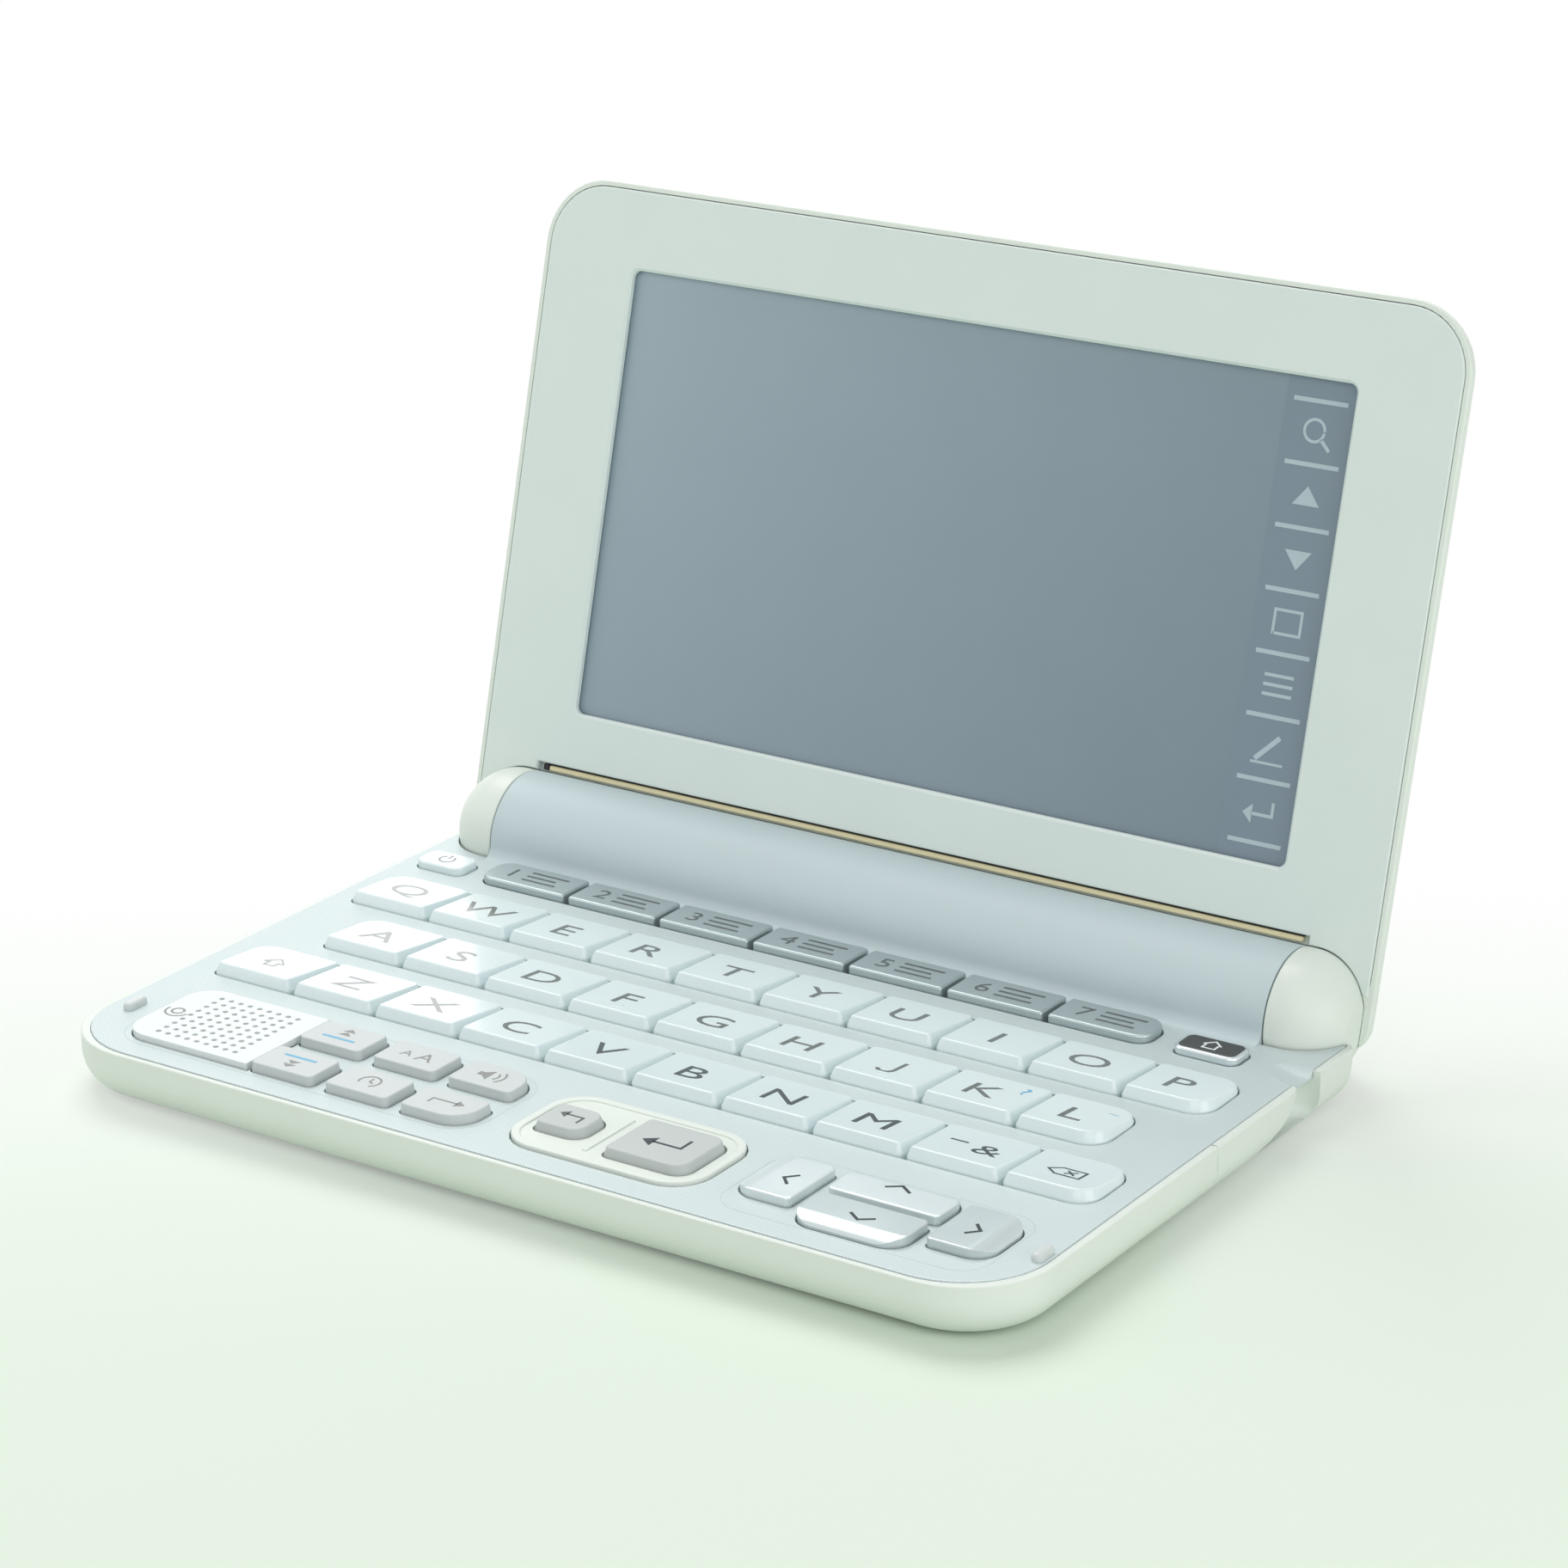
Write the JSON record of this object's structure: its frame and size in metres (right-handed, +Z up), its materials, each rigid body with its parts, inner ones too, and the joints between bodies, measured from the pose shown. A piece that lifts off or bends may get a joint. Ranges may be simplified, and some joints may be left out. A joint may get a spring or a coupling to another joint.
{
  "type": "electronic dictionary",
  "caption": "Pocket clamshell dictionary with a small keyboard in its base and a touch screen in its hinged lid.",
  "frame": {"origin": "middle of the flat underside of the lower case, 0.4 mm above the faces of its feet", "axes": "+X to the user's right along the hinge, +Y from the user to the hinge, +Z up out of the keyboard"},
  "size_m": [0.148, 0.1228, 0.1018],
  "materials": {
    "case": "ivory satin moulding",
    "deck": "silver paint with a fine dot texture",
    "letter_key": "white, clear-coated",
    "function_key": "brushed silver with a bright front bevel",
    "home_key": "black inset in a silver rim",
    "page_key": "warm grey, fine matte",
    "arrow_key": "satin silver with polished bevels",
    "grille": "white satin",
    "screen_glass": "anti-glare",
    "display": "unlit grey-blue panel",
    "board": "green board",
    "mat": "silicone rubber",
    "cell": "printed sleeve, bare ends",
    "steel": "turned steel"
  },
  "bodies": {
    "base": {"lower_case": "case", "deck_cover": "deck", "main_board": "board", "key_mat": "mat", "battery_cells": "cell", "speaker_grille": "grille", "speaker_driver": "steel", "enter_key_surround": "case"},
    "lid": {"lid_back_cover": "case", "lid_bezel": "case", "touch_panel": "screen_glass", "display_module": "display", "hinge_pin_left": "steel", "hinge_pin_right": "steel"},
    "key_q": {"key_q": "letter_key"},
    "key_w": {"key_w": "letter_key"},
    "key_e": {"key_e": "letter_key"},
    "key_r": {"key_r": "letter_key"},
    "key_t": {"key_t": "letter_key"},
    "key_y": {"key_y": "letter_key"},
    "key_u": {"key_u": "letter_key"},
    "key_i": {"key_i": "letter_key"},
    "key_o": {"key_o": "letter_key"},
    "key_p": {"key_p": "letter_key"},
    "key_a": {"key_a": "letter_key"},
    "key_s": {"key_s": "letter_key"},
    "key_d": {"key_d": "letter_key"},
    "key_f": {"key_f": "letter_key"},
    "key_g": {"key_g": "letter_key"},
    "key_h": {"key_h": "letter_key"},
    "key_j": {"key_j": "letter_key"},
    "key_k": {"key_k": "letter_key"},
    "key_l": {"key_l": "letter_key"},
    "key_shift": {"key_shift": "letter_key"},
    "key_z": {"key_z": "letter_key"},
    "key_x": {"key_x": "letter_key"},
    "key_c": {"key_c": "letter_key"},
    "key_v": {"key_v": "letter_key"},
    "key_b": {"key_b": "letter_key"},
    "key_n": {"key_n": "letter_key"},
    "key_m": {"key_m": "letter_key"},
    "key_dash": {"key_dash": "letter_key"},
    "key_delete": {"key_delete": "letter_key"},
    "function_key_strip": {"function_key_strip": "function_key"},
    "key_power": {"key_power": "letter_key"},
    "key_home": {"key_home": "home_key"},
    "key_page_down": {"key_page_down": "page_key"},
    "key_page_history": {"key_page_history": "page_key"},
    "key_page_jump": {"key_page_jump": "page_key"},
    "key_page_up": {"key_page_up": "page_key"},
    "key_page_size": {"key_page_size": "page_key"},
    "key_page_voice": {"key_page_voice": "page_key"},
    "key_back": {"key_back": "page_key"},
    "key_enter": {"key_enter": "page_key"},
    "key_arrow_left": {"key_arrow_left": "arrow_key"},
    "key_arrow_right": {"key_arrow_right": "arrow_key"},
    "key_arrow_up": {"key_arrow_up": "arrow_key"},
    "key_arrow_down": {"key_arrow_down": "arrow_key"},
    "touch_pen": {"touch_pen": "case"},
    "battery_cover": {"battery_cover": "case"}
  },
  "joints": [
    {"name": "lid_hinge", "type": "hinge", "parent": "base", "child": "lid", "pos_m": [0, 0.0435, 0.0091], "axis": [-1, 0, 0], "range_deg": [-104.6, 50.4]},
    {"name": "key_q_press", "type": "slide", "parent": "base", "child": "key_q", "axis": [0, 0, -1], "range_m": [0, 0.0012], "stiffness_N_per_m": 350, "springref_m": -0.0004},
    {"name": "key_w_press", "type": "slide", "parent": "base", "child": "key_w", "axis": [0, 0, -1], "range_m": [0, 0.0012], "stiffness_N_per_m": 350, "springref_m": -0.0004},
    {"name": "key_e_press", "type": "slide", "parent": "base", "child": "key_e", "axis": [0, 0, -1], "range_m": [0, 0.0012], "stiffness_N_per_m": 350, "springref_m": -0.0004},
    {"name": "key_r_press", "type": "slide", "parent": "base", "child": "key_r", "axis": [0, 0, -1], "range_m": [0, 0.0012], "stiffness_N_per_m": 350, "springref_m": -0.0004},
    {"name": "key_t_press", "type": "slide", "parent": "base", "child": "key_t", "axis": [0, 0, -1], "range_m": [0, 0.0012], "stiffness_N_per_m": 350, "springref_m": -0.0004},
    {"name": "key_y_press", "type": "slide", "parent": "base", "child": "key_y", "axis": [0, 0, -1], "range_m": [0, 0.0012], "stiffness_N_per_m": 350, "springref_m": -0.0004},
    {"name": "key_u_press", "type": "slide", "parent": "base", "child": "key_u", "axis": [0, 0, -1], "range_m": [0, 0.0012], "stiffness_N_per_m": 350, "springref_m": -0.0004},
    {"name": "key_i_press", "type": "slide", "parent": "base", "child": "key_i", "axis": [0, 0, -1], "range_m": [0, 0.0012], "stiffness_N_per_m": 350, "springref_m": -0.0004},
    {"name": "key_o_press", "type": "slide", "parent": "base", "child": "key_o", "axis": [0, 0, -1], "range_m": [0, 0.0012], "stiffness_N_per_m": 350, "springref_m": -0.0004},
    {"name": "key_p_press", "type": "slide", "parent": "base", "child": "key_p", "axis": [0, 0, -1], "range_m": [0, 0.0012], "stiffness_N_per_m": 350, "springref_m": -0.0004},
    {"name": "key_a_press", "type": "slide", "parent": "base", "child": "key_a", "axis": [0, 0, -1], "range_m": [0, 0.0012], "stiffness_N_per_m": 350, "springref_m": -0.0004},
    {"name": "key_s_press", "type": "slide", "parent": "base", "child": "key_s", "axis": [0, 0, -1], "range_m": [0, 0.0012], "stiffness_N_per_m": 350, "springref_m": -0.0004},
    {"name": "key_d_press", "type": "slide", "parent": "base", "child": "key_d", "axis": [0, 0, -1], "range_m": [0, 0.0012], "stiffness_N_per_m": 350, "springref_m": -0.0004},
    {"name": "key_f_press", "type": "slide", "parent": "base", "child": "key_f", "axis": [0, 0, -1], "range_m": [0, 0.0012], "stiffness_N_per_m": 350, "springref_m": -0.0004},
    {"name": "key_g_press", "type": "slide", "parent": "base", "child": "key_g", "axis": [0, 0, -1], "range_m": [0, 0.0012], "stiffness_N_per_m": 350, "springref_m": -0.0004},
    {"name": "key_h_press", "type": "slide", "parent": "base", "child": "key_h", "axis": [0, 0, -1], "range_m": [0, 0.0012], "stiffness_N_per_m": 350, "springref_m": -0.0004},
    {"name": "key_j_press", "type": "slide", "parent": "base", "child": "key_j", "axis": [0, 0, -1], "range_m": [0, 0.0012], "stiffness_N_per_m": 350, "springref_m": -0.0004},
    {"name": "key_k_press", "type": "slide", "parent": "base", "child": "key_k", "axis": [0, 0, -1], "range_m": [0, 0.0012], "stiffness_N_per_m": 350, "springref_m": -0.0004},
    {"name": "key_l_press", "type": "slide", "parent": "base", "child": "key_l", "axis": [0, 0, -1], "range_m": [0, 0.0012], "stiffness_N_per_m": 350, "springref_m": -0.0004},
    {"name": "key_shift_press", "type": "slide", "parent": "base", "child": "key_shift", "axis": [0, 0, -1], "range_m": [0, 0.0012], "stiffness_N_per_m": 350, "springref_m": -0.0004},
    {"name": "key_z_press", "type": "slide", "parent": "base", "child": "key_z", "axis": [0, 0, -1], "range_m": [0, 0.0012], "stiffness_N_per_m": 350, "springref_m": -0.0004},
    {"name": "key_x_press", "type": "slide", "parent": "base", "child": "key_x", "axis": [0, 0, -1], "range_m": [0, 0.0012], "stiffness_N_per_m": 350, "springref_m": -0.0004},
    {"name": "key_c_press", "type": "slide", "parent": "base", "child": "key_c", "axis": [0, 0, -1], "range_m": [0, 0.0012], "stiffness_N_per_m": 350, "springref_m": -0.0004},
    {"name": "key_v_press", "type": "slide", "parent": "base", "child": "key_v", "axis": [0, 0, -1], "range_m": [0, 0.0012], "stiffness_N_per_m": 350, "springref_m": -0.0004},
    {"name": "key_b_press", "type": "slide", "parent": "base", "child": "key_b", "axis": [0, 0, -1], "range_m": [0, 0.0012], "stiffness_N_per_m": 350, "springref_m": -0.0004},
    {"name": "key_n_press", "type": "slide", "parent": "base", "child": "key_n", "axis": [0, 0, -1], "range_m": [0, 0.0012], "stiffness_N_per_m": 350, "springref_m": -0.0004},
    {"name": "key_m_press", "type": "slide", "parent": "base", "child": "key_m", "axis": [0, 0, -1], "range_m": [0, 0.0012], "stiffness_N_per_m": 350, "springref_m": -0.0004},
    {"name": "key_dash_press", "type": "slide", "parent": "base", "child": "key_dash", "axis": [0, 0, -1], "range_m": [0, 0.0012], "stiffness_N_per_m": 350, "springref_m": -0.0004},
    {"name": "key_delete_press", "type": "slide", "parent": "base", "child": "key_delete", "axis": [0, 0, -1], "range_m": [0, 0.0012], "stiffness_N_per_m": 350, "springref_m": -0.0004},
    {"name": "function_key_strip_press", "type": "slide", "parent": "base", "child": "function_key_strip", "axis": [0, 0, -1], "range_m": [0, 0.0012], "stiffness_N_per_m": 350, "springref_m": -0.0004},
    {"name": "key_power_press", "type": "slide", "parent": "base", "child": "key_power", "axis": [0, 0, -1], "range_m": [0, 0.0012], "stiffness_N_per_m": 350, "springref_m": -0.0004},
    {"name": "key_home_press", "type": "slide", "parent": "base", "child": "key_home", "axis": [0, 0, -1], "range_m": [0, 0.0012], "stiffness_N_per_m": 350, "springref_m": -0.0004},
    {"name": "key_page_down_press", "type": "slide", "parent": "base", "child": "key_page_down", "axis": [0, 0, -1], "range_m": [0, 0.0012], "stiffness_N_per_m": 350, "springref_m": -0.0004},
    {"name": "key_page_history_press", "type": "slide", "parent": "base", "child": "key_page_history", "axis": [0, 0, -1], "range_m": [0, 0.0012], "stiffness_N_per_m": 350, "springref_m": -0.0004},
    {"name": "key_page_jump_press", "type": "slide", "parent": "base", "child": "key_page_jump", "axis": [0, 0, -1], "range_m": [0, 0.0012], "stiffness_N_per_m": 350, "springref_m": -0.0004},
    {"name": "key_page_up_press", "type": "slide", "parent": "base", "child": "key_page_up", "axis": [0, 0, -1], "range_m": [0, 0.0012], "stiffness_N_per_m": 350, "springref_m": -0.0004},
    {"name": "key_page_size_press", "type": "slide", "parent": "base", "child": "key_page_size", "axis": [0, 0, -1], "range_m": [0, 0.0012], "stiffness_N_per_m": 350, "springref_m": -0.0004},
    {"name": "key_page_voice_press", "type": "slide", "parent": "base", "child": "key_page_voice", "axis": [0, 0, -1], "range_m": [0, 0.0012], "stiffness_N_per_m": 350, "springref_m": -0.0004},
    {"name": "key_back_press", "type": "slide", "parent": "base", "child": "key_back", "axis": [0, 0, -1], "range_m": [0, 0.0012], "stiffness_N_per_m": 350, "springref_m": -0.0004},
    {"name": "key_enter_press", "type": "slide", "parent": "base", "child": "key_enter", "axis": [0, 0, -1], "range_m": [0, 0.0012], "stiffness_N_per_m": 350, "springref_m": -0.0004},
    {"name": "key_arrow_left_press", "type": "slide", "parent": "base", "child": "key_arrow_left", "axis": [0, 0, -1], "range_m": [0, 0.0012], "stiffness_N_per_m": 350, "springref_m": -0.0004},
    {"name": "key_arrow_right_press", "type": "slide", "parent": "base", "child": "key_arrow_right", "axis": [0, 0, -1], "range_m": [0, 0.0012], "stiffness_N_per_m": 350, "springref_m": -0.0004},
    {"name": "key_arrow_up_press", "type": "slide", "parent": "base", "child": "key_arrow_up", "axis": [0, 0, -1], "range_m": [0, 0.0012], "stiffness_N_per_m": 350, "springref_m": -0.0004},
    {"name": "key_arrow_down_press", "type": "slide", "parent": "base", "child": "key_arrow_down", "axis": [0, 0, -1], "range_m": [0, 0.0012], "stiffness_N_per_m": 350, "springref_m": -0.0004},
    {"name": "touch_pen_slide", "type": "slide", "parent": "base", "child": "touch_pen", "axis": [0, 1, 0], "range_m": [0, 0.0055]},
    {"name": "battery_cover_slide", "type": "slide", "parent": "base", "child": "battery_cover", "axis": [0, 1, 0], "range_m": [0, 0.009]}
  ]
}
